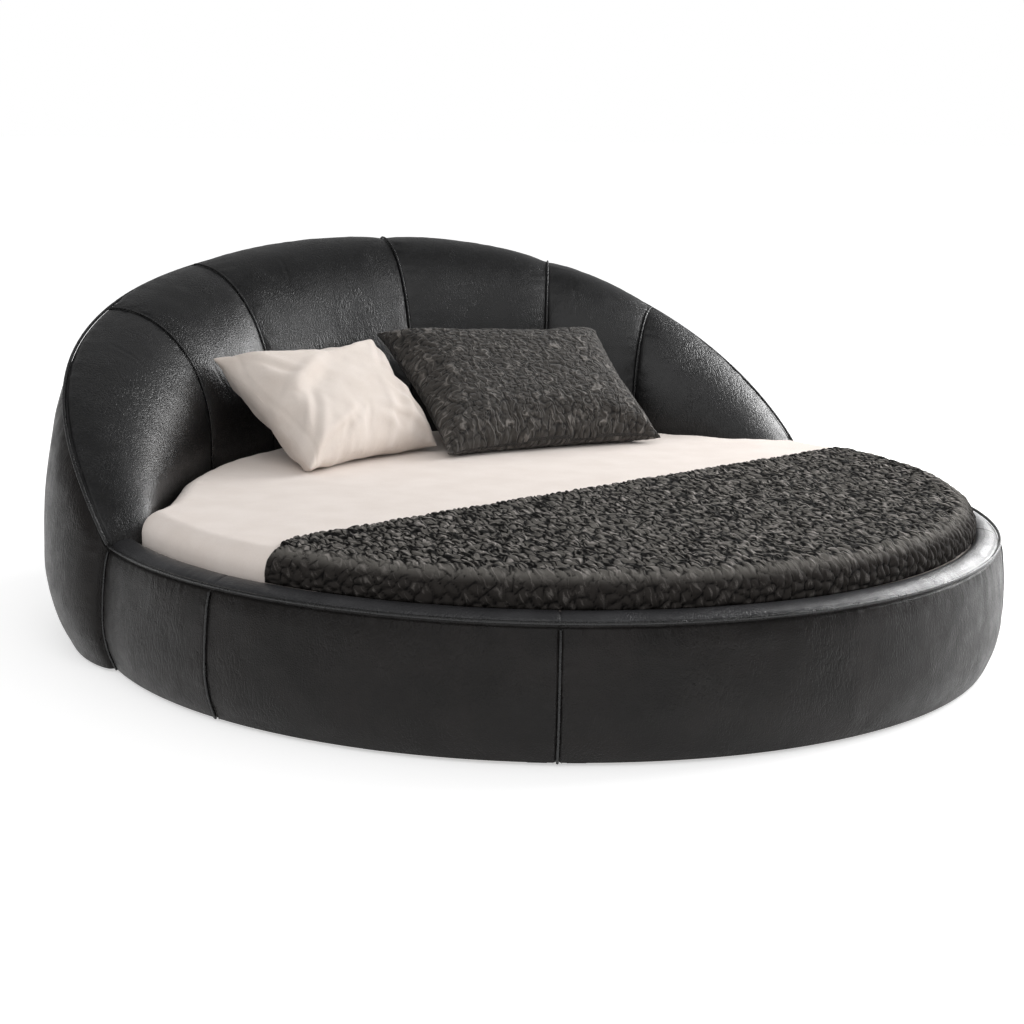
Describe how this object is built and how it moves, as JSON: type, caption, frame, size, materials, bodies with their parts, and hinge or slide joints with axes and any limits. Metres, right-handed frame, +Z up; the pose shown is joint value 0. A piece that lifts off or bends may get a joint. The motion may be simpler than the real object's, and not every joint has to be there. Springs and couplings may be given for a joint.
{
  "type": "round bed",
  "caption": "Round upholstered platform bed with an arched channelled headboard wrapping its head half, slatted base, round mattress, fitted sheet, throw and loose pillows.",
  "frame": {"origin": "centre of the round base, on the floor, at the foot of the middle leg", "axes": "+Z up, +Y towards the middle of the headboard, -Y towards the foot, +X to the right of someone looking from the foot to the headboard"},
  "size_m": [2.3354, 2.3665, 0.9156],
  "materials": {
    "leather": "satin pebble grain",
    "leather_welt": "satin piping",
    "sheet_cloth": "smooth cotton",
    "throw_cloth": "crinkled",
    "light_pillow_cloth": "plain linen weave",
    "dark_pillow_cloth": "embossed ridges",
    "mattress_foam": "knitted ticking",
    "plywood": "sanded birch plywood",
    "pine": "planed softwood",
    "zinc_steel": "zinc plated",
    "black_steel": "powder coat",
    "felt": "pressed felt",
    "glide_plastic": "moulded"
  },
  "bodies": {
    "bed_frame": {"back_panel_1": "leather", "back_panel_2": "leather", "back_panel_3": "leather", "back_welt_1": "leather_welt", "back_welt_2": "leather_welt", "base_rail_1": "plywood", "base_rail_2": "plywood", "base_rail_3": "plywood", "base_rail_4": "plywood", "base_welt_1": "leather_welt", "base_welt_2": "leather_welt", "base_welt_3": "leather_welt", "base_welt_4": "leather_welt", "base_welt_5": "leather_welt", "beam_hangers": "zinc_steel", "beam_legs": "black_steel", "channel_welt_1": "leather_welt", "channel_welt_2": "leather_welt", "channel_welt_3": "leather_welt", "channel_welt_4": "leather_welt", "channel_welt_5": "leather_welt", "edge_piping": "leather_welt", "felt_glides": "felt", "head_rail": "plywood", "headboard_board": "plywood", "headboard_channel_1": "leather", "headboard_channel_2": "leather", "headboard_channel_3": "leather", "headboard_channel_4": "leather", "headboard_channel_5": "leather", "headboard_channel_6": "leather", "headboard_rib_1": "plywood", "headboard_rib_2": "plywood", "headboard_rib_3": "plywood", "headboard_rib_4": "plywood", "headboard_rib_5": "plywood", "headboard_rib_6": "plywood", "headboard_rib_7": "plywood", "headboard_rib_8": "plywood", "leg_glides": "glide_plastic", "middle_beam": "pine", "rim_pad_1": "leather", "rim_pad_2": "leather", "rim_pad_3": "leather", "rim_pad_4": "leather", "rim_piping": "leather_welt", "side_panel_1": "leather", "side_panel_2": "leather", "side_panel_3": "leather", "side_panel_4": "leather", "slat_ledgers": "pine", "slats": "pine", "splice_bolts": "zinc_steel", "splice_plates": "zinc_steel"},
    "mattress": {"mattress_core": "mattress_foam", "fitted_sheet": "sheet_cloth"},
    "throw_body": {"throw": "throw_cloth"},
    "light_pillow_body": {"light_pillow": "light_pillow_cloth"},
    "dark_pillow_body": {"dark_pillow": "dark_pillow_cloth"}
  },
  "joints": [
    {"name": "mattress_lift", "type": "slide", "parent": "bed_frame", "child": "mattress", "axis": [0, 0, 1], "range_m": [0, 0.78]},
    {"name": "throw_lift", "type": "slide", "parent": "mattress", "child": "throw_body", "axis": [0, 0, 1], "range_m": [0, 0.2]},
    {"name": "light_pillow_lift", "type": "slide", "parent": "mattress", "child": "light_pillow_body", "axis": [-0.2999, -0.2, 0.9328], "range_m": [0, 0.56]},
    {"name": "dark_pillow_lift", "type": "slide", "parent": "mattress", "child": "dark_pillow_body", "axis": [0, 0, 1], "range_m": [0, 0.56]}
  ]
}
